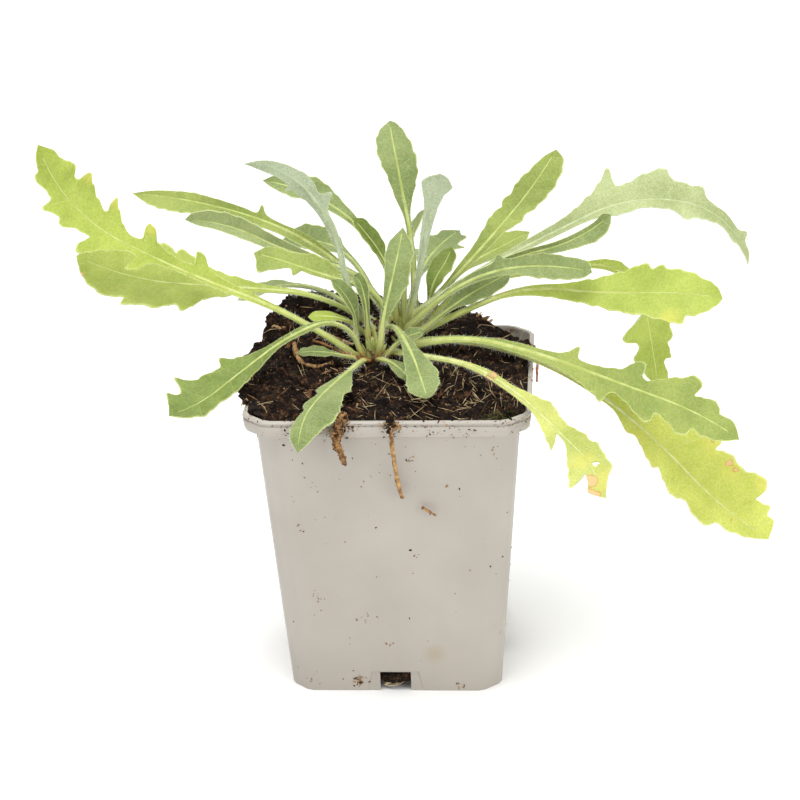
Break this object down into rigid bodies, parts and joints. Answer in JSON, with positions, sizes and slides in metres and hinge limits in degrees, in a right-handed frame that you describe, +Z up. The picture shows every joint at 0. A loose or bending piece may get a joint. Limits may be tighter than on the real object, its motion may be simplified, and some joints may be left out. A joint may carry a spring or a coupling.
{
  "type": "potted plant",
  "caption": "Young blanket flower before bloom: a rosette of hairy, lobed leaves on a short crown, growing in peat in a square nursery pot with drain notches",
  "frame": {"origin": "On the resting plane, under the middle of the whole part's bounding box. The pot's own axis is about 6 mm beside it along X and 0 mm along Y.", "axes": "+Z up, +X to the right and -Y to the front as in the picture. The pot's sides run along X and Y. Leaves reach furthest along X."},
  "size_m": [0.233, 0.163, 0.1767],
  "materials": {
    "pot": "matt, slightly satin moulded plastic",
    "soil": "damp peat with fibres",
    "crown": "hairy, green to brown",
    "leaf": "matt, fine short hairs",
    "root": "dry, fibrous"
  },
  "bodies": {
    "root": {"pot": "pot", "soil": "soil", "crown": "crown", "leaf_left_lobed": "leaf", "leaf_left_broad": "leaf", "leaf_left_long": "leaf", "leaf_left_narrow": "leaf", "leaf_left_short": "leaf", "leaf_left_silver": "leaf", "leaf_left_arched": "leaf", "leaf_left_folded": "leaf", "leaf_left_slender": "leaf", "leaf_back_left": "leaf", "leaf_new_left": "leaf", "leaf_new_upright": "leaf", "leaf_front_left": "leaf", "leaf_front_over_rim": "leaf", "leaf_front_round": "leaf", "leaf_front_small_left": "leaf", "leaf_low_left": "leaf", "leaf_front_low": "leaf", "leaf_front_small_right": "leaf", "leaf_middle_oval": "leaf", "leaf_tall_oval": "leaf", "leaf_tall_silver": "leaf", "leaf_tall_small": "leaf", "leaf_middle_bright": "leaf", "leaf_back_lobed": "leaf", "leaf_right_tall": "leaf", "leaf_right_short": "leaf", "leaf_right_arching": "leaf", "leaf_right_twisted": "leaf", "leaf_right_blue": "leaf", "leaf_right_dark": "leaf", "leaf_right_broad": "leaf", "leaf_right_drooping": "leaf", "leaf_right_lobed": "leaf", "leaf_right_hanging": "leaf", "leaf_right_withered": "leaf", "root_over_rim": "root", "root_bark_over_rim": "root", "root_on_soil": "root", "dead_stalk": "root"}
  },
  "joints": []
}
